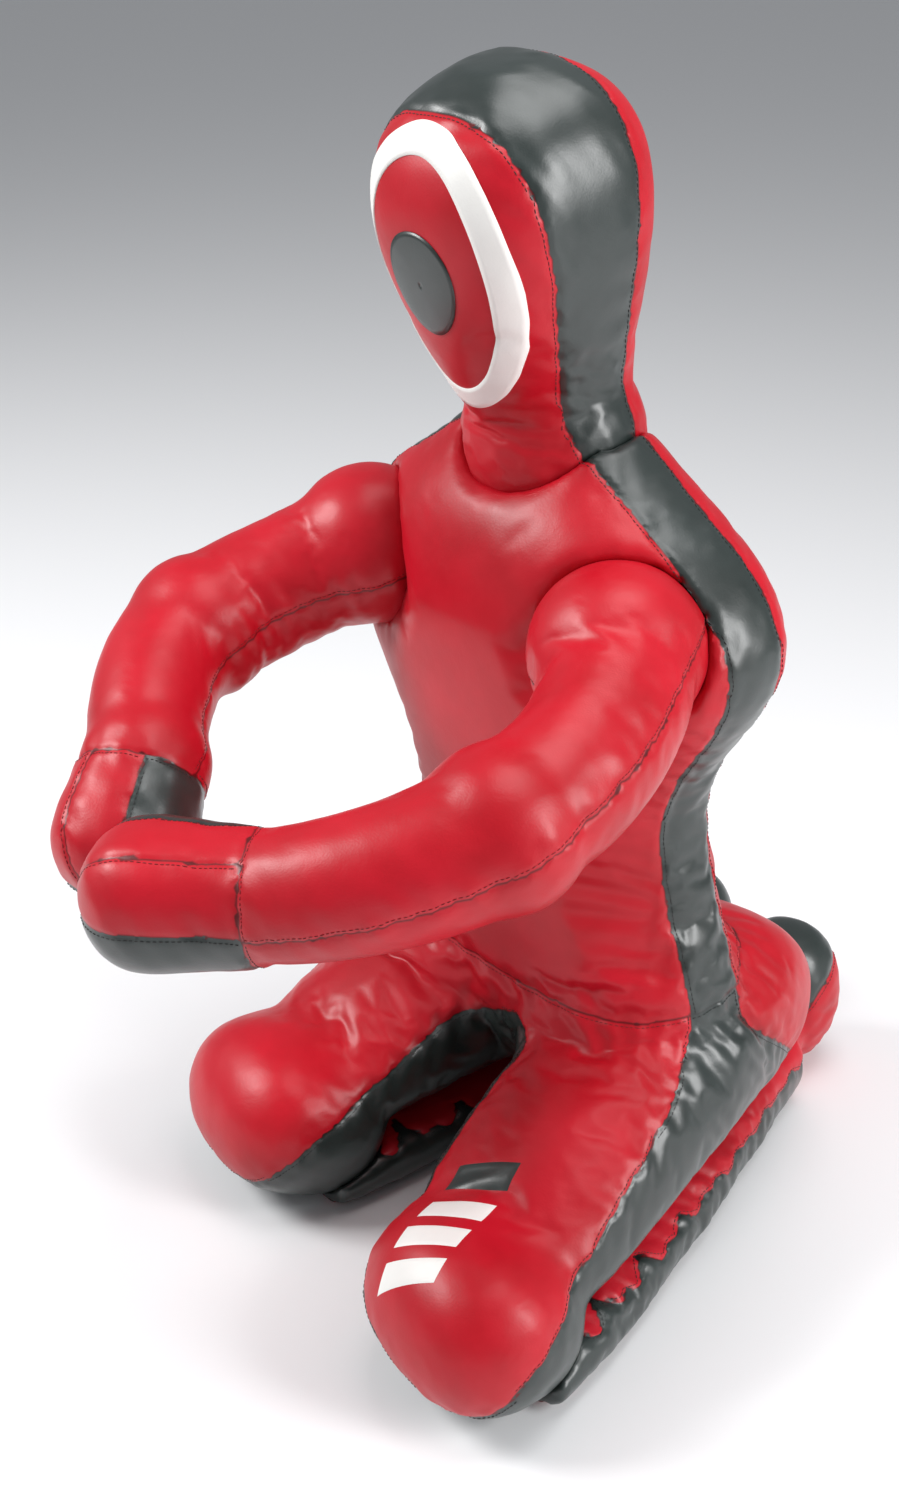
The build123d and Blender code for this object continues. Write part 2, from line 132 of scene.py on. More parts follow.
def curve(points, samples=60):
    """Points of a smooth line through a few given ones."""
    p = np.array(points, float)
    t = np.linspace(0, len(p) - 1, samples)
    i = np.clip(t.astype(int), 0, len(p) - 2)
    f = (t - i)[:, None]
    before, after = p[np.clip(i - 1, 0, None)], p[np.clip(i + 2, None, len(p) - 1)]
    a, b = p[i], p[i + 1]
    return 0.5 * (2 * a + (b - before) * f + (2 * before - 5 * a + 4 * b - after) * f**2
                  + (3 * a - before - 3 * b + after) * f**3)


def beside(line, x, y):
    """Signed distance from an open line in the plane: positive to its left."""
    best = np.full(len(x), 9.0)
    signed = np.zeros(len(x))
    for a, b in zip(line[:-1], line[1:]):
        d = b - a
        t = np.clip(((x - a[0]) * d[0] + (y - a[1]) * d[1]) / max(d @ d, 1e-12), 0, 1)
        dx, dy = x - a[0] - t * d[0], y - a[1] - t * d[1]
        distance = np.hypot(dx, dy)
        nearer = distance < best
        best[nearer] = distance[nearer]
        signed[nearer] = (np.sign(d[0] * dy - d[1] * dx) * distance)[nearer]
    return signed


FRONT_LINE, SEAT_LINE = curve(FRONT_SEAM), curve(SEAT_SEAM)


# ---- seam fields: each is zero on its seam ----------------------------------------
def trunk_height(p):
    return dots(p, TRUNK_FOOT, TRUNK_AXIS)


def trunk_depth(p):
    return dots(p, TRUNK_FOOT, TRUNK_DEPTH)


def above_waist(p):
    return trunk_height(p) > -1e-5


def below_waist(p):
    return trunk_height(p) < 1e-5


def front_field(p):
    return beside(FRONT_LINE, leg_along(p), p[:, 2])


def seat_field(p):
    return beside(SEAT_LINE, leg_along(p), p[:, 2])


def trunk_panel(p):
    """Name of the panel that each point of the trunk skin belongs to."""
    depth, upper = trunk_depth(p), trunk_height(p) > 0
    left = p[:, 0] > TRUNK_FOOT.x
    middle = p[:, 0] > 0.023 - 0.089 * (p[:, 1] + 0.157)
    front, seat = front_field(p) > 0, seat_field(p) < 0
    names = np.where(left, "torso_left_band", "torso_right_band").astype("U32")
    names[upper & (depth < BAND_FRONT)] = "chest_panel"
    names[upper & (depth > BAND_BACK)] = "back_panel"
    gusset = np.where(middle, "left_thigh_gusset", "right_thigh_gusset").astype("U32")
    names[~upper] = gusset[~upper]
    names[~upper & front] = "thigh_front_panel"
    names[~upper & ~front & seat] = "seat_panel"
    return names


def head_fields(p):
    height, depth = dots(p, HEAD_FOOT, HEAD_AXIS), dots(p, HEAD_FOOT, HEAD_DEPTH)
    return (depth - HEAD_FRONT[0] - HEAD_FRONT[1] * height,
            depth - HEAD_BACK[0] - HEAD_BACK[1] * height)


def head_panel(p):
    front, back = head_fields(p)
    names = np.full(len(p), "head_side_band", "U32")
    names[front < 0] = "face_panel"
    names[back > 0] = "head_back_panel"
    return names


class Arm:
    """Seams of one arm, in the frame of its joints."""

    def __init__(self, side):
        self.side = side
        self.shoulder = Vector(JOINTS[f"{side}_shoulder"]["pos_m"])
        self.elbow = Vector(JOINTS[f"{side}_elbow"]["pos_m"])
        self.wrist = Vector(JOINTS[f"{side}_wrist"]["pos_m"])
        self.normal = Vector(JOINTS[f"{side}_elbow"]["axis"])
        if self.normal.z < 0:
            self.normal.negate()
        self.hand = Vector(HAND_WAYS[side]).normalized()
        across = Z.cross(self.hand).normalized()
        self.up = self.hand.cross(across).normalized()
        self.away = across if across.y < 0 else -across

    def long_seam(self, p):
        return dots(p, self.elbow + self.normal * 0.004, self.normal)

    def wrist_seam(self, p):
        reach = dots(p, self.wrist, self.hand) - WRIST_SEAM[self.side]
        side = np.linalg.norm(p - np.array(self.wrist), axis=1)
        return np.where(side < 0.16, reach, -0.1)

    def palm(self, p):
        low = dots(p, self.wrist - self.up * PALM_LOW, self.up)
        inner = dots(p, self.wrist - self.away * PALM_INNER, self.away)
        return np.minimum(low, inner)

    def ridge(self, p):
        return dots(p, self.wrist, self.up * 0.54 - self.away * 0.84)

    def in_hand(self, p):
        return self.wrist_seam(p) > -1e-5

    def in_arm(self, p):
        return self.wrist_seam(p) < 1e-5

    def on_back(self, p):
        return self.in_hand(p) & (self.palm(p) > -1e-5)

    def panel(self, p):
        top = self.long_seam(p) > 0
        names = np.where(top, f"{self.side}_arm_top", f"{self.side}_arm_under").astype("U32")
        hand = self.wrist_seam(p) > 0
        names[hand] = f"{self.side}_hand_palm_panel"
        back = hand & (self.palm(p) > 0)
        names[back & (self.ridge(p) > 0)] = f"{self.side}_hand_top_panel"
        names[back & (self.ridge(p) <= 0)] = f"{self.side}_hand_outer_panel"
        return names


# ---- skins ------------------------------------------------------------------------
def points_of(mesh):
    co = np.empty(len(mesh.vertices) * 3, np.float32)
    mesh.vertices.foreach_get("co", co)
    return co.reshape(-1, 3).astype(float)


def set_points(mesh, co):
    mesh.vertices.foreach_set("co", co.astype(np.float32).ravel())
    mesh.update()


def normals_of(mesh):
    out = np.empty(len(mesh.vertices) * 3, np.float32)
    mesh.vertex_normals.foreach_get("vector", out)
    return out.reshape(-1, 3).astype(float)


def edges_of(mesh):
    out = np.empty(len(mesh.edges) * 2, np.int32)
    mesh.edges.foreach_get("vertices", out)
    return out.reshape(-1, 2)


def relaxed(co, edges, rounds, factor=0.5, hold=None):
    """Each point drawn towards the middle of its neighbours."""
    count = np.bincount(edges.ravel(), minlength=len(co))[:, None].clip(1)
    for _ in range(rounds):
        total = np.zeros_like(co)
        np.add.at(total, edges[:, 0], co[edges[:, 1]])
        np.add.at(total, edges[:, 1], co[edges[:, 0]])
        step = (total / count - co) * factor
        if hold is not None:
            step *= hold[:, None]
        co = co + step
    return co


def grown_union(name, nodes):
    """One closed skin round several CAD solids, remeshed to even faces."""
    bm = bmesh.new()
    for node in nodes:
        bm.from_mesh(frame["nodes"][node].data)
    bmesh.ops.remove_doubles(bm, verts=bm.verts, dist=2e-5)
    bm.normal_update()
    for vert in bm.verts:
        vert.co += vert.normal * COVER
    mesh = bpy.data.meshes.new(name)
    bm.to_mesh(mesh)
    bm.free()
    skin = bpy.data.objects.new(name, mesh)
    bpy.context.scene.collection.objects.link(skin)
    remesh = skin.modifiers.new("remesh", "REMESH")
    remesh.mode = "VOXEL"
    remesh.voxel_size = VOXEL
    apply_modifiers(skin)
    keep_largest(skin.data)
    co, edges = points_of(skin.data), edges_of(skin.data)
    set_points(skin.data, relaxed(relaxed(co, edges, 8, 0.5), edges, 5, -0.25))
    return skin


def filled(mesh, rounds, limit, where=None):
    """Fills hollows narrower than a hand, as tight stuffing bridges them: points only move outwards."""
    co, edges, normal = points_of(mesh), edges_of(mesh), normals_of(mesh)
    rise = np.sum((relaxed(co, edges, rounds) - co) * normal, axis=1).clip(0, limit)
    if where is not None:
        rise *= where(co, normal)
    co = relaxed(co + normal * rise[:, None], edges, 5, 0.5)
    set_points(mesh, relaxed(co, edges, 3, -0.25))


def apply_modifiers(obj):
    bpy.context.view_layer.update()
    evaluated = obj.evaluated_get(bpy.context.evaluated_depsgraph_get())
    mesh = bpy.data.meshes.new_from_object(evaluated)
    obj.modifiers.clear()
    old = obj.data
    obj.data = mesh
    bpy.data.meshes.remove(old)


def keep_largest(mesh):
    """Only the largest closed shell: the joints' inner gaps make small hidden ones."""
    bm = bmesh.new()
    bm.from_mesh(mesh)
    seen, shells = set(), []
    for vert in bm.verts:
        if vert.index in seen:
            continue
        shell, todo = [], [vert]
        seen.add(vert.index)
        while todo:
            at = todo.pop()
            shell.append(at)
            for edge in at.link_edges:
                other = edge.other_vert(at)
                if other.index not in seen:
                    seen.add(other.index)
                    todo.append(other)
        shells.append(shell)
    shells.sort(key=len)
    bmesh.ops.delete(bm, geom=[v for shell in shells[:-1] for v in shell], context="VERTS")
    bm.to_mesh(mesh)
    bm.free()


def cut(mesh, field, where=None):
    """Adds edges along a field's zero line, after drawing the nearest points onto it."""
    co = points_of(mesh)
    inside = np.ones(len(co), bool) if where is None else where(co)
    value = field(co)
    step = 1e-4
    change = [field(co + step * axis) - field(co - step * axis) for axis in np.eye(3)]
    slope = np.stack(change, 1) / (2 * step)
    normal = normals_of(mesh)
    slope -= normal * np.sum(slope * normal, axis=1)[:, None]
    length = np.sum(slope**2, axis=1).clip(0.05)
    near = inside & (np.abs(value) < VOXEL * 0.42)
    co[near] -= (slope * (value / length)[:, None])[near]
    set_points(mesh, co)
    value = np.where(near, 0.0, field(co))
    bm = bmesh.new()
    bm.from_mesh(mesh)
    bm.verts.ensure_lookup_table()
    on_line = set(np.flatnonzero(near).tolist())
    fresh = []
    for edge in list(bm.edges):
        a, b = edge.verts
        i, j = a.index, b.index
        if inside[i] and inside[j] and value[i] * value[j] < 0:
            fresh.append((edge, a, value[i] / (value[i] - value[j])))
    made = [bmesh.utils.edge_split(edge, a, share)[1] for edge, a, share in fresh]
    bm.verts.ensure_lookup_table()
    line = [bm.verts[i] for i in on_line] + made
    bmesh.ops.connect_verts(bm, verts=line)
    bm.to_mesh(mesh)
    bm.free()


def panel_names(mesh, classify):
    middle = np.empty(len(mesh.polygons) * 3, np.float32)
    mesh.polygons.foreach_get("center", middle)
    return classify(middle.reshape(-1, 3).astype(float))


def seam_edges(mesh, names):
    """Pairs of point numbers along the lines where two panels meet."""
    sides = {}
    for polygon, name in zip(mesh.polygons, names):
        for key in polygon.edge_keys:
            sides.setdefault(key, set()).add(str(name))
    return {key: tuple(sorted(panels)) for key, panels in sides.items() if len(panels) > 1}


def puff(skin, seams, hold, seed, gathers):
    """Fills the cover: cloth held at its seams, pushed out from inside, wrinkles as it is cut too large."""
    mesh = skin.data
    rest = points_of(mesh)
    edges = edges_of(mesh)
    normal = normals_of(mesh)
    pinned = sorted({i for key in seams for i in key} | set(np.flatnonzero(hold(rest)).tolist()))
    start = rest + ripple(rest, normal, np.array(pinned), seed, gathers)
    set_points(mesh, start)
    group = skin.vertex_groups.new(name="seams")
    group.add([int(i) for i in pinned], 1.0, "REPLACE")
    loose = fullness(rest, gathers)
    taut = skin.vertex_groups.new(name="taut")
    for i, share in enumerate((1 - loose).tolist()):
        taut.add([i], share, "REPLACE")
    cloth = skin.modifiers.new("cloth", "CLOTH")
    settings = cloth.settings
    settings.quality = 4
    settings.mass = 0.25
    settings.tension_stiffness = settings.compression_stiffness = 18
    settings.shear_stiffness = 8
    settings.bending_stiffness = 0.35
    settings.use_pressure = True
    settings.uniform_pressure_force = PRESSURE
    settings.shrink_max = TAUT
    settings.shrink_min = LOOSE
    settings.vertex_group_shrink = "taut"
    settings.vertex_group_mass = "seams"
    settings.effector_weights.gravity = 0
    cloth.collision_settings.use_collision = False
    cloth.collision_settings.use_self_collision = False
    scene = bpy.context.scene
    for number in range(1, FRAMES + 1):
        scene.frame_set(number)
    apply_modifiers(skin)
    scene.frame_set(1)
    mesh = skin.data
    now = points_of(mesh)
    move = now - rest
    reach = np.linalg.norm(move, axis=1)
    move *= (np.minimum(reach, CAP) / reach.clip(1e-9))[:, None]
    now = rest + move
    now = relaxed(now, edges, 1, 0.35)
    line = np.array(sorted({i for key in seams for i in key}))
    if len(line):
        now[line] -= normal[line] * 0.0017
    set_points(mesh, now)


def fullness(co, gathers):
    """How gathered the cover is at each point: 1 in the middle of a gather, 0 where it is tight."""
    most = np.zeros(len(co))
    for centre, radius, *_ in gathers:
        span = np.linalg.norm(co - np.array(centre), axis=1) / radius
        most = np.maximum(most, np.exp(-(span / 1.1) ** 2))
    return most


def ripple(co, normal, pinned, seed, gathers):
    """Small creases that start square to the seams and die out away from them."""
    rng = np.random.default_rng(seed)
    waves = np.zeros(len(co))
    for _ in range(6):
        way = rng.normal(size=3)
        way /= np.linalg.norm(way)
        waves += np.sin((co @ way) * rng.uniform(130, 340) + rng.uniform(0, 6.28))
    near = np.exp(-(distance_to(co, co[pinned]) / 0.022) ** 2)
    size = 0.00030 * near + 0.00005
    for centre, radius, way, pitch, height in gathers:
        span = np.linalg.norm(co - np.array(centre), axis=1) / radius
        way = np.array(Vector(way).normalized())
        phase = (co @ way) / pitch * 2 * math.pi
        drift = 1.6 * np.sin(co @ np.array([31.0, 23.0, 17.0]))
        drift = drift + 0.9 * np.sin(co @ np.array([-47.0, 59.0, 38.0]))
        size_here = np.exp(-span**2) * height
        waves = waves + np.where(span < 2.5, np.sin(phase + drift) * size_here / size, 0)
    return normal * (waves * size)[:, None]


def distance_to(co, marks):
    """Distance of every point from the nearest mark."""
    tree = KDTree(len(marks))
    for i, mark in enumerate(marks):
        tree.insert(mark, i)
    tree.balance()
    return np.array([tree.find(point)[2] for point in co])


# ---- materials --------------------------------------------------------------------
def node(tree, kind, **inputs):
    made = tree.nodes.new(kind)
    for name, value in inputs.items():
        if hasattr(made, name):
            setattr(made, name, value)
        else:
            made.inputs[name.replace("_", " ")].default_value = value
    return made


def vinyl(name, colour, deep, roughness, coat=0.15, shine=0.5):
    """Synthetic leather: fine grain, soft creases, slight changes of colour and gloss, and painted shade
    along the seams.
    """
    material = bpy.data.materials.new(name)
    material.use_nodes = True
    tree = material.node_tree
    shader = tree.nodes["Principled BSDF"]
    link = tree.links.new
    place = node(tree, "ShaderNodeTexCoord").outputs["Object"]
    cloud = node(tree, "ShaderNodeTexNoise", Scale=9.0, Detail=4.0, Roughness=0.55)
    link(place, cloud.inputs["Vector"])
    tint = node(tree, "ShaderNodeMix", data_type="RGBA")
    tint.inputs[6].default_value = (*deep, 1)
    tint.inputs[7].default_value = (*colour, 1)
    spread = node(tree, "ShaderNodeMapRange")
    spread.inputs["From Min"].default_value = 0.3
    spread.inputs["From Max"].default_value = 0.62
    link(cloud.outputs["Fac"], spread.inputs["Value"])
    link(spread.outputs["Result"], tint.inputs[0])
    # painted shade: the base colour is multiplied darker along the seam lines, standing in for the shade in
    # the seam grooves
    seam = node(tree, "ShaderNodeAttribute", attribute_name="seam")
    shade = node(tree, "ShaderNodeMix", data_type="RGBA", blend_type="MULTIPLY")
    shade.inputs[7].default_value = (0.22, 0.20, 0.20, 1)
    narrow = node(tree, "ShaderNodeMapRange")
    narrow.inputs["From Min"].default_value = 0.62
    link(seam.outputs["Fac"], narrow.inputs["Value"])
    link(narrow.outputs["Result"], shade.inputs[0])
    link(tint.outputs[2], shade.inputs[6])
    link(shade.outputs[2], shader.inputs["Base Color"])
    wear = node(tree, "ShaderNodeTexNoise", Scale=38.0, Detail=6.0, Roughness=0.7)
    link(place, wear.inputs["Vector"])
    gloss = node(tree, "ShaderNodeMapRange")
    gloss.inputs["To Min"].default_value = roughness - 0.07
    gloss.inputs["To Max"].default_value = roughness + 0.09
    link(wear.outputs["Fac"], gloss.inputs["Value"])
    link(gloss.outputs["Result"], shader.inputs["Roughness"])
    pebble = node(tree, "ShaderNodeTexVoronoi", Scale=620.0, feature="SMOOTH_F1")
    link(place, pebble.inputs["Vector"])
    crease = node(tree, "ShaderNodeTexNoise", Scale=34.0, Detail=3.0, Roughness=0.5, Distortion=1.2)
    link(place, crease.inputs["Vector"])
    soft = node(tree, "ShaderNodeBump", Strength=0.07, Distance=0.0035)
    link(crease.outputs["Fac"], soft.inputs["Height"])
    fine = node(tree, "ShaderNodeBump", Strength=0.16, Distance=0.0004)
    link(pebble.outputs["Distance"], fine.inputs["Height"])
    link(soft.outputs["Normal"], fine.inputs["Normal"])
    link(fine.outputs["Normal"], shader.inputs["Normal"])
    shader.inputs["Coat Weight"].default_value = coat
    shader.inputs["Coat Roughness"].default_value = 0.32
    shader.inputs["Specular IOR Level"].default_value = shine
    return material


def plain(name, colour, roughness, metallic=0.0, bump_scale=900.0, bump=0.2):
    material = bpy.data.materials.new(name)
    material.use_nodes = True
    tree = material.node_tree
    shader = tree.nodes["Principled BSDF"]
    shader.inputs["Base Color"].default_value = (*colour, 1)
    shader.inputs["Metallic"].default_value = metallic
    grain = node(tree, "ShaderNodeTexNoise", Scale=bump_scale, Detail=3.0)
    tree.links.new(node(tree, "ShaderNodeTexCoord").outputs["Object"], grain.inputs["Vector"])
    gloss = node(tree, "ShaderNodeMapRange")
    gloss.inputs["To Min"].default_value = roughness - 0.06
    gloss.inputs["To Max"].default_value = roughness + 0.1
    tree.links.new(grain.outputs["Fac"], gloss.inputs["Value"])
    tree.links.new(gloss.outputs["Result"], shader.inputs["Roughness"])
    lift = node(tree, "ShaderNodeBump", Strength=bump, Distance=0.0004)
    tree.links.new(grain.outputs["Fac"], lift.inputs["Height"])
    tree.links.new(lift.outputs["Normal"], shader.inputs["Normal"])
    return material


RED = vinyl("red_vinyl", (0.50, 0.0045, 0.016), (0.37, 0.0022, 0.008), 0.39, coat=0.06, shine=0.34)
# near-black leather, with a green-grey tint in its colour that is painted reflection of the sky
DARK = vinyl("dark_vinyl", (0.020, 0.029, 0.027), (0.011, 0.017, 0.015), 0.35, coat=0.40)
WHITE = vinyl("white_vinyl", (0.84, 0.83, 0.80), (0.76, 0.75, 0.72), 0.48, coat=0.0)
THREAD_RED = plain("red_thread", (0.17, 0.002, 0.006), 0.6)
THREAD_DARK = plain("dark_thread", (0.012, 0.012, 0.012), 0.55)
TAPE = plain("zip_tape", (0.016, 0.016, 0.018), 0.75)
METAL = plain("zip_metal", (0.55, 0.52, 0.46), 0.3, metallic=1.0, bump=0.05)


# ---- pieces -----------------------------------------------------------------------
def mesh_object(name, verts, faces, material, normals=None):
    mesh = bpy.data.meshes.new(name)
    mesh.from_pydata([tuple(v) for v in verts], [], [tuple(int(i) for i in f) for f in faces])
    mesh.polygons.foreach_set("use_smooth", [True] * len(mesh.polygons))
    mesh.materials.append(material)
    mesh.update()
    obj = bpy.data.objects.new(name, mesh)
    bpy.context.scene.collection.objects.link(obj)
    if normals is not None:
        mesh.normals_split_custom_set_from_vertices([tuple(n) for n in normals])
    return obj


def finish_skin(skin, names, seams):
    """Marks the seam points, sorts the faces into panels and subdivides the skin once; split then cuts it
    into its panels, with shared normals along the seams.
    """
    line = sorted({i for key in seams for i in key})
    attribute = skin.data.attributes.new("seam", "FLOAT", "POINT")
    value = np.zeros(len(skin.data.vertices), np.float32)
    value[line] = 1.0
    attribute.data.foreach_set("value", value)
    kinds = sorted(set(names.tolist()))
    index = {kind: i for i, kind in enumerate(kinds)}
    skin.data.materials.clear()
    for _ in kinds:
        skin.data.materials.append(None)
    skin.data.polygons.foreach_set("material_index", [index[n] for n in names.tolist()])
    divide = skin.modifiers.new("divide", "SUBSURF")
    divide.levels = divide.render_levels = 1
    apply_modifiers(skin)
    return kinds


def split(skin, kinds):
    """Arrays of each panel's points, faces, normals and seam shading."""
    mesh = skin.data
    co, normal = points_of(mesh), normals_of(mesh)
    seam = np.zeros(len(co), np.float32)
    mesh.attributes["seam"].data.foreach_get("value", seam)
    which = np.empty(len(mesh.polygons), np.int32)
    mesh.polygons.foreach_get("material_index", which)
    loops = np.empty(len(mesh.loops), np.int32)
    mesh.loops.foreach_get("vertex_index", loops)
    starts = np.empty(len(mesh.polygons), np.int32)
    totals = np.empty(len(mesh.polygons), np.int32)
    mesh.polygons.foreach_get("loop_start", starts)
    mesh.polygons.foreach_get("loop_total", totals)
    out = {}
    for number, kind in enumerate(kinds):
        faces = [loops[s:s + t] for s, t in zip(starts[which == number], totals[which == number])]
        used = np.unique(np.concatenate(faces))
        renumber = np.full(len(co), -1)
        renumber[used] = np.arange(len(used))
        out[kind] = (co[used], [renumber[f] for f in faces], normal[used], seam[used])
    return out


def panel_piece(name, data, material):
    co, faces, normal, seam = data
    piece = mesh_object(name, co, faces, material, normal)
    attribute = piece.data.attributes.new("seam", "FLOAT", "POINT")
    attribute.data.foreach_set("value", seam)
    return piece


def chains(pairs):
    """Seam edges joined end to end into lines of point numbers."""
    links = {}
    for a, b in pairs:
        links.setdefault(a, []).append(b)
        links.setdefault(b, []).append(a)
    left = {tuple(sorted(pair)) for pair in pairs}
    lines = []
    while left:
        ends = [a for a in links
                if len(links[a]) != 2 and any(tuple(sorted((a, b))) in left for b in links[a])]
        at = ends[0] if ends else next(iter(sorted(left)))[0]
        line = [at]
        while True:
            onward = [b for b in links[at] if tuple(sorted((at, b))) in left]
            if not onward or (len(line) > 1 and len(links[at]) != 2):
                break
            left.discard(tuple(sorted((at, onward[0]))))
            at = onward[0]
            line.append(at)
        if len(line) > 4:
            lines.append(line)
    return lines


def stitch_row(co, normal, surface, aside, pitch=0.0048, length=0.0034, radius=0.00036):
    """Short thread loops beside a seam line, lying on the cover."""
    steps = np.linalg.norm(np.diff(co, axis=0), axis=1)
    places = np.concatenate([[0], np.cumsum(steps)])
    smoothed = co.copy()
    for _ in range(6):
        smoothed[1:-1] = (smoothed[:-2] + smoothed[1:-1] * 2 + smoothed[2:]) / 4
    count = int(places[-1] / pitch)
    verts, faces = [], []
    for number in range(count):
        ends = []
        for offset in (-0.5, 0.5):
            s = (number + 0.5) * pitch + offset * length
            point = np.array([np.interp(s, places, smoothed[:, k]) for k in range(3)])
            ahead = np.array([np.interp(s + 0.004, places, smoothed[:, k]) for k in range(3)])
            behind = np.array([np.interp(s - 0.004, places, smoothed[:, k]) for k in range(3)])
            up = np.array([np.interp(s, places, normal[:, k]) for k in range(3)])
            way = ahead - behind
            across = np.cross(way, up)
            across /= max(np.linalg.norm(across), 1e-9)
            found = surface.find_nearest(Vector(point + across * aside + up * 0.003))
            if found[0] is None:
                break
            ends.append((np.array(found[0]), np.array(found[1])))
        if len(ends) < 2:
            continue
        (a, up_a), (b, up_b) = ends
        way = (b - a) / max(np.linalg.norm(b - a), 1e-9)
        base = len(verts)
        for share, lift, size in ((0, -0.2, 0.5), (0.2, 0.7, 1), (0.8, 0.7, 1), (1, -0.2, 0.5)):
            middle = a + (b - a) * share
            up = up_a * (1 - share) + up_b * share
            across = np.cross(way, up)
            across /= max(np.linalg.norm(across), 1e-9)
            for turn in range(5):
                angle = 2 * math.pi * turn / 5
                verts.append(middle + up * radius * lift
                             + (across * math.cos(angle) + up * math.sin(angle)) * radius * size)
        for ring in range(3):
            for turn in range(5):
                a0, a1 = base + ring * 5 + turn, base + ring * 5 + (turn + 1) % 5
                faces.append((a0, a1, a1 + 5, a0 + 5))
        faces.append([base + t for t in range(4, -1, -1)])
        faces.append([base + 15 + t for t in range(5)])
    return verts, faces


def stitches(name, rows, material):
    verts, faces = [], []
    for row_verts, row_faces in rows:
        base = len(verts)
        verts += row_verts
        faces += [[i + base for i in face] for face in row_faces]
    return mesh_object(name, verts, faces, material) if verts else None


def surface_of(skin):
    return BVHTree.FromObject(skin, bpy.context.evaluated_depsgraph_get())


def make_skin(name, nodes, cuts, classify, hold, seed, gathers=(), shape=None):
    """The whole pass for one skin: form, seams, filling, panels and the lines for its stitches."""
    skin = grown_union(name, nodes)
    if shape:
        shape(skin.data)
    for field, where in cuts:
        cut(skin.data, field, where)
    names = panel_names(skin.data, classify)
    seams = seam_edges(skin.data, names)
    puff(skin, seams, hold, seed, gathers)
    co, normal = points_of(skin.data), normals_of(skin.data)
    lines = {}
    for key, pair in seams.items():
        lines.setdefault(pair, []).append(key)
    paths = [(pair, co[line], normal[line]) for pair, keys in sorted(lines.items()) for line in chains(keys)]
    kinds = finish_skin(skin, names, seams)
    surface = surface_of(skin)
    parts = split(skin, kinds)
    bpy.data.objects.remove(skin)
    return parts, paths, surface


def nothing_held(co):
    return np.zeros(len(co), bool)


def declare(replaced=()):
    if replaced:
        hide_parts(*replaced)


def bend_waist(piece):
    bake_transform(piece)


def shape_trunk(mesh):
    """Bridges the hollow behind each knee and fills the knees' fronts out."""
    clear = lambda co, normal: smooth(0.066, 0.092, co[:, 2]) * smooth(-0.35, 0.1, normal[:, 2])
    for rounds in (150, 110, 60):
        filled(mesh, rounds, 0.016, clear)
    co = points_of(mesh)
    for side, knee in KNEES.items():
        way, outer = LEGS[side]
        along = dots(co, knee, way)
        own = smooth(-0.005, 0.02, dots(co, Vector((0.023, -0.157, 0)), outer))
        angle = np.degrees(np.arctan2(co[:, 2] - knee.z, -along))
        push = KNEE_FULL * smooth(0.03, -0.03, along) * smooth(-62, -30, angle) * own
        push = np.where(co[:, 2] < 0.30, push, 0)
        co += np.outer(push, np.array(-way * 0.9 + Z * 0.25 + outer * 0.15))
    edges = edges_of(mesh)
    set_points(mesh, relaxed(co, edges, 3, 0.4))


def build_trunk():
    nodes = ["torso_stuffing", "pelvis_stuffing", "left_thigh_stuffing", "right_thigh_stuffing"]
    cuts = [
        (trunk_height, None),
        (lambda p: trunk_depth(p) - BAND_FRONT, above_waist),
        (lambda p: trunk_depth(p) - BAND_BACK, above_waist),
        (front_field, below_waist),
        (seat_field, lambda p: below_waist(p) & (front_field(p) < 0.03)),
    ]
    hips = TRUNK_FOOT
    gathers = [
        (hips + Vector((0, -0.06, 0.055)), 0.20, (0.05, 0.1, 1), 0.023, 0.0006),
        (hips + Vector((0.11, -0.03, -0.04)), 0.10, (0.3, -0.6, 1), 0.026, 0.0011),
        (hips + Vector((-0.11, -0.03, -0.04)), 0.10, (-0.3, -0.6, 1), 0.026, 0.0011),
        (hips + Vector((0.19, 0.03, -0.05)), 0.075, (0.1, 1.0, 0.75), 0.024, 0.0016),
        (hips + Vector((-0.19, 0.03, -0.05)), 0.075, (-0.1, 1.0, 0.75), 0.024, 0.0016),
    ]
    parts, paths, surface = make_skin("trunk_skin", nodes, cuts, trunk_panel, nothing_held, 11, gathers,
                                      shape_trunk)
    looks = {
        "chest_panel": (RED, ["chest_panel", "torso_stuffing"]),
        "back_panel": (RED, ["back_panel"]),
        "torso_left_band": (DARK, ["torso_left_band"]),
        "torso_right_band": (DARK, ["torso_right_band"]),
        "thigh_front_panel": (RED, ["left_thigh_front_panel", "right_thigh_front_panel", "hip_front_panel",
                                    "pelvis_stuffing"]),
        "seat_panel": (RED, ["seat_panel"]),
        "left_thigh_gusset": (DARK, ["left_thigh_outer_gusset", "left_thigh_inner_gusset",
                                     "left_thigh_stuffing"]),
        "right_thigh_gusset": (DARK, ["right_thigh_outer_gusset", "right_thigh_inner_gusset",
                                      "right_thigh_stuffing"]),
    }
    for kind, (material, replaced) in looks.items():
        piece = panel_piece(f"{kind}_cover", parts[kind], material)
        declare(replaced)
        bend_waist(piece)
    sew("trunk", paths, surface, bend_waist)
    return surface


def sew(name, paths, surface, attach):
    """One row of thread beside every seam, red on red and dark beside dark."""
    rows = {THREAD_RED: [], THREAD_DARK: []}
    for pair, co, normal in paths:
        dark = any(word in n for n in pair for word in ("band", "gusset", "palm", "dark"))
        material = THREAD_DARK if dark else THREAD_RED
        rows[material].append(stitch_row(co, normal, surface, 0.0034))
    for material, made in rows.items():
        piece = stitches(f"{name}_{material.name}", made, material)
        if piece:
            declare()
            attach(piece)


# ---- head -------------------------------------------------------------------------
def rides(body):
    return lambda piece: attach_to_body(piece, body)


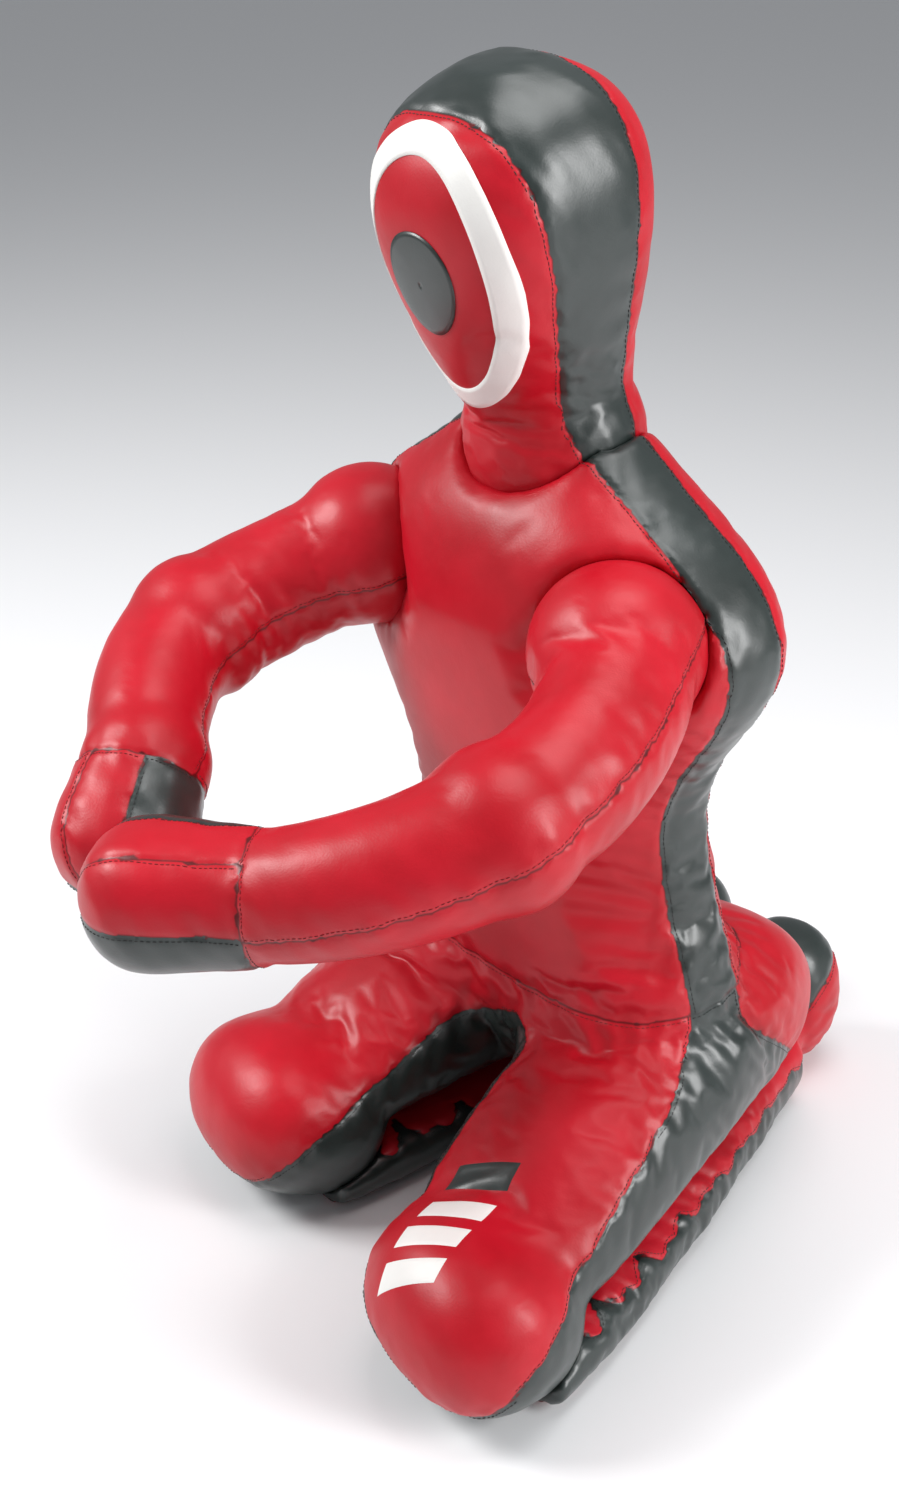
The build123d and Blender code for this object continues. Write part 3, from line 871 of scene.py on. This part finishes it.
def build_head():
    cuts = [(lambda p: head_fields(p)[0], None), (lambda p: head_fields(p)[1], None)]
    sunk = lambda p: dots(p, HEAD_FOOT, HEAD_AXIS) < -0.012
    neck = HEAD_FOOT + Vector((0, -0.03, 0.02))
    gathers = [(neck, 0.06, (0.05, 0.25, 1), 0.014, 0.0008)]
    parts, paths, surface = make_skin("head_skin", ["head_stuffing"], cuts, head_panel, sunk, 5, gathers)
    looks = {"face_panel": (RED, ["face_panel", "head_stuffing"]),
             "head_back_panel": (RED, ["head_back_panel"]),
             "head_side_band": (DARK, ["head_side_band"])}
    for kind, (material, replaced) in looks.items():
        piece = panel_piece(f"{kind}_cover", parts[kind], material)
        declare(replaced)
        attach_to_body(piece, "head")
    sew("head", paths, surface, rides("head"))
    middle = HEAD_FOOT + HEAD_AXIS * TARGET_HEIGHT
    ring = patch_ring("target_ring", middle, RING[:2], RING[2], surface, WHITE)
    disc = patch_ring("target_disc", middle, DISC, DISC[0] * 0.999, surface, DARK)
    for piece, replaced in ((ring, "face_target_ring"), (disc, "face_target_disc")):
        declare([replaced])
        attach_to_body(piece, "head")


def patch_ring(name, middle, halves, width, surface, material):
    """A thin elliptical patch laid on the face: its rows run from the outer edge inwards."""
    turns, rows = 160, max(4, int(width / 0.0035))
    verts, faces = [], []
    thickness = 0.0009
    squash = halves[1] / halves[0] if width > halves[0] * 0.9 else 1
    for row in range(-1, rows + 2):
        share = min(max(row, 0), rows) / rows
        lift = thickness if 0 <= row <= rows else -0.0006
        for turn in range(turns):
            angle = 2 * math.pi * turn / turns
            u = (halves[0] - width * share) * math.cos(angle) * (1 + 0.11 * math.sin(angle))
            v = (halves[1] - width * share * squash) * math.sin(angle)
            start = middle + Vector((1, 0, 0)) * u + HEAD_AXIS * v - HEAD_DEPTH * 0.4
            hit, normal, _, _ = surface.ray_cast(start, HEAD_DEPTH)
            if hit is None:
                hit, normal = start + HEAD_DEPTH * 0.3, -HEAD_DEPTH
            verts.append(hit + normal * lift)
    for row in range(rows + 2):
        for turn in range(turns):
            a, b = row * turns + turn, row * turns + (turn + 1) % turns
            faces.append((a, a + turns, b + turns, b))
    return mesh_object(name, verts, faces, material)


# ---- arms and hands ---------------------------------------------------------------
def build_arm(side):
    arm = Arm(side)

    def shape_arm(mesh):
        shoulder = np.array(arm.shoulder)
        off_torso = lambda co, normal: smooth(0.066, 0.095, np.linalg.norm(co - shoulder, axis=1))
        for rounds in (130, 90):
            filled(mesh, rounds, 0.013, off_torso)

    nodes = [f"{side}_upper_arm_stuffing", f"{side}_forearm_stuffing", f"{side}_hand_stuffing"]
    cuts = [(arm.wrist_seam, lambda p: np.linalg.norm(p - np.array(arm.wrist), axis=1) < 0.12),
            (arm.long_seam, arm.in_arm), (arm.palm, arm.in_hand), (arm.ridge, arm.on_back)]
    sunk = lambda p: np.linalg.norm(p - np.array(arm.shoulder), axis=1) < 0.068
    inward = (arm.wrist - arm.shoulder).normalized()
    gathers = [
        (arm.elbow + Vector((-0.05 * SIGN[side], 0.035, -0.01)), 0.045, inward, 0.020, 0.0008),
        (arm.shoulder + (arm.elbow - arm.shoulder) * 0.30, 0.045, (arm.elbow - arm.shoulder), 0.024, 0.0005),
    ]
    parts, paths, surface = make_skin(f"{side}_arm_skin", nodes, cuts, arm.panel, sunk, 21 + SIGN[side],
                                      gathers, shape_arm)

    def bend_elbow(piece):
        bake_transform(piece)

    def bend_wrist(piece):
        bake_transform(piece)

    looks = {
        f"{side}_arm_top": (RED, [f"{side}_upper_arm_top_panel", f"{side}_forearm_top_panel",
                                  f"{side}_upper_arm_stuffing", f"{side}_forearm_stuffing"], bend_elbow),
        f"{side}_arm_under": (RED, [f"{side}_upper_arm_under_panel", f"{side}_forearm_under_panel"],
                              bend_elbow),
        f"{side}_hand_top_panel": (RED, [f"{side}_hand_top_panel", f"{side}_hand_stuffing"], bend_wrist),
        f"{side}_hand_outer_panel": (RED, [f"{side}_hand_outer_panel"], bend_wrist),
        f"{side}_hand_palm_panel": (DARK, [f"{side}_hand_palm_panel"], bend_wrist),
    }
    for kind, (material, replaced, attach) in looks.items():
        piece = panel_piece(f"{kind}_cover", parts[kind], material)
        declare(replaced)
        attach(piece)
    of_arm = [p for p in paths if all("_arm_" in n for n in p[0])]
    of_hand = [p for p in paths if not all("_arm_" in n for n in p[0])]
    sew(f"{side}_arm", of_arm, surface, bend_elbow)
    sew(f"{side}_hand", of_hand, surface, bend_wrist)


# ---- shins and feet ---------------------------------------------------------------
def build_shin(side):
    way, outer = LEGS[side]

    def calf_seam(p):
        along = dots(p, KNEES[side], way)
        return p[:, 2] - SHIN_SEAMS[1] - 0.0035 * np.sin(along * 95) - 0.0025 * np.sin(along * 171 + 1.0)

    def panel(p):
        names = np.full(len(p), f"{side}_shin_gusset", "U32")
        names[calf_seam(p) > 0] = f"{side}_calf_strip"
        names[p[:, 2] < SHIN_SEAMS[0]] = f"{side}_shin_front_panel"
        return names

    cuts = [(lambda p: p[:, 2] - SHIN_SEAMS[0], None), (calf_seam, None)]
    floor = lambda p: (p[:, 2] < 0.004) | (np.linalg.norm(p - np.array(ANKLES[side]), axis=1) < 0.095)
    calf = KNEES[side] + way * 0.26 + outer * 0.09 + Vector((0, 0, 0.06 - KNEES[side].z))
    gathers = [(calf - way * 0.16, 0.05, way, 0.031, 0.0009), (calf, 0.06, way, 0.037, 0.0011),
               (calf + way * 0.13, 0.05, way, 0.034, 0.0009)]
    parts, paths, surface = make_skin(f"{side}_shin_skin", [f"{side}_shin_stuffing"], cuts, panel, floor,
                                      31 + SIGN[side], gathers)
    looks = {
        f"{side}_shin_gusset": (DARK, [f"{side}_shin_outer_gusset", f"{side}_shin_inner_gusset",
                                       f"{side}_shin_stuffing"]),
        f"{side}_calf_strip": (RED, [f"{side}_calf_strip"]),
        f"{side}_shin_front_panel": (RED, [f"{side}_shin_front_panel"]),
    }
    for kind, (material, replaced) in looks.items():
        co, faces, normal, seam = parts[kind]
        co[:, 2] = np.maximum(co[:, 2], 0.0)
        piece = panel_piece(f"{kind}_cover", (co, faces, normal, seam), material)
        declare(replaced)
        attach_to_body(piece, f"{side}_shin")
    sew(f"{side}_shin", paths, surface, rides(f"{side}_shin"))


def build_foot(side):
    way, outer = LEGS[side]
    toe = ANKLES[side] + way * 0.058
    across = (outer * 0.62 + way * 0.42 - Z * 0.66).normalized()
    seam = lambda p: dots(p, ANKLES[side] + way * 0.055 + Z * 0.022, across)

    def panel(p):
        return np.where(seam(p) > 0, f"{side}_foot_red", f"{side}_foot_dark").astype("U32")

    sunk = lambda p: np.linalg.norm(p - np.array(ANKLES[side]), axis=1) < 0.074
    gathers = [(toe, 0.08, (0.2, 0.3, 1), 0.02, 0.0008)]
    parts, paths, surface = make_skin(f"{side}_foot_skin", [f"{side}_foot_stuffing"], [(seam, None)], panel,
                                      sunk, 41 + SIGN[side], gathers)
    looks = {f"{side}_foot_red": (RED, [f"{side}_foot_red_panel", f"{side}_foot_stuffing"]),
             f"{side}_foot_dark": (DARK, [f"{side}_foot_dark_panel"])}
    for kind, (material, replaced) in looks.items():
        piece = panel_piece(f"{kind}_cover", parts[kind], material)
        declare(replaced)
        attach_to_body(piece, f"{side}_foot")
    sew(f"{side}_foot", paths, surface, rides(f"{side}_foot"))


# ---- thigh bars -------------------------------------------------------------------
BARS = ((-0.066, 0.024, WHITE), (-0.028, 0.024, WHITE), (0.010, 0.024, WHITE), (0.052, 0.028, DARK))
BAR_ACROSS = (-0.050, 0.008)
BAR_SLANT = 0.35


def build_bars(surface):
    """Plain slanted bars on the left thigh, in place of printed lettering."""
    way, outer = LEGS["left"]
    knee = KNEES["left"]
    for number, (start, length, material) in enumerate(BARS):
        across_steps, along_steps = 18, 9
        verts, faces = [], []
        for i in range(across_steps + 1):
            across = BAR_ACROSS[0] + (BAR_ACROSS[1] - BAR_ACROSS[0]) * i / across_steps
            for j in range(along_steps + 1):
                along = start + length * j / along_steps + BAR_SLANT * (across - BAR_ACROSS[0])
                above = knee + way * along + outer * across
                down = Vector((0, 0.32, -1)).normalized()
                hit, normal, _, _ = surface.ray_cast(above - down * 0.4, down)
                if hit is None:
                    hit, normal, _, _ = surface.find_nearest(above)
                edge = i in (0, across_steps) or j in (0, along_steps)
                verts.append(hit + normal * (0.0001 if edge else 0.0006))
        for i in range(across_steps):
            for j in range(along_steps):
                a = i * (along_steps + 1) + j
                faces.append((a, a + 1, a + along_steps + 2, a + along_steps + 1))
        piece = mesh_object(f"thigh_bar_{number + 1}", verts, faces, material)
        declare()
        bend_waist(piece)


# ---- back zip ---------------------------------------------------------------------
for kind, material in (("back_zip", TAPE), ("zip_slider", METAL)):
    piece = frame["nodes"][kind]
    piece.data.materials.clear()
    piece.data.materials.append(material)

trunk_surface = build_trunk()
build_bars(trunk_surface)
build_head()
for limb_side in SIGN:
    build_arm(limb_side)
    build_shin(limb_side)
    build_foot(limb_side)


# ---- room, light and camera -------------------------------------------------------
def build_room():
    bpy.ops.mesh.primitive_plane_add(size=60, location=(0, 0, 0))
    floor = bpy.context.object
    floor.name = "floor"
    floor.data.materials.append(plain("floor_paint", (0.86, 0.86, 0.87), 0.7, bump=0.0))
    world = bpy.data.worlds.new("studio")
    world.use_nodes = True
    world.node_tree.nodes["Background"].inputs["Color"].default_value = (0.93, 0.96, 1.0, 1)
    world.node_tree.nodes["Background"].inputs["Strength"].default_value = 0.31
    bpy.context.scene.world = world


def add_light(name, place, target, size, power, colour=(1, 1, 1)):
    data = bpy.data.lights.new(name, "AREA")
    data.shape = "RECTANGLE"
    data.size, data.size_y = size
    data.energy = power
    data.color = colour
    lamp = bpy.data.objects.new(name, data)
    lamp.location = place
    lamp.rotation_mode = "QUATERNION"
    lamp.rotation_quaternion = (Vector(target) - Vector(place)).to_track_quat("-Z", "Y")
    bpy.context.scene.collection.objects.link(lamp)


CAMERA = {"azimuth": 49.89, "elevation": 27.78, "distance": 1.825, "roll": -0.524, "lens": 47.18,
          "target": (-0.0560, 0.0007, 0.4695)}


def build_camera():
    azimuth, elevation = math.radians(CAMERA["azimuth"]), math.radians(CAMERA["elevation"])
    back = Vector((math.sin(azimuth) * math.cos(elevation), -math.cos(azimuth) * math.cos(elevation),
                   math.sin(elevation)))
    data = bpy.data.cameras.new("camera")
    data.lens, data.sensor_width = CAMERA["lens"], 36
    camera = bpy.data.objects.new("camera", data)
    camera.location = Vector(CAMERA["target"]) + back * CAMERA["distance"]
    camera.rotation_mode = "QUATERNION"
    turn = (-back).to_track_quat("-Z", "Y")
    camera.rotation_quaternion = turn @ Quaternion((0, 0, 1), math.radians(CAMERA["roll"]))
    bpy.context.scene.collection.objects.link(camera)
    bpy.context.scene.camera = camera


build_room()
add_light("key", (-1.7, -1.9, 2.5), (0, 0, 0.5), (1.2, 1.2), 92)
add_light("side", (2.5, 0.9, 1.6), (0, 0, 0.6), (0.9, 1.8), 72)
add_light("top", (0.3, 0.3, 2.9), (0, 0, 0.5), (1.5, 1.5), 34)
build_camera()
bpy.context.scene.view_settings.view_transform = "Standard"
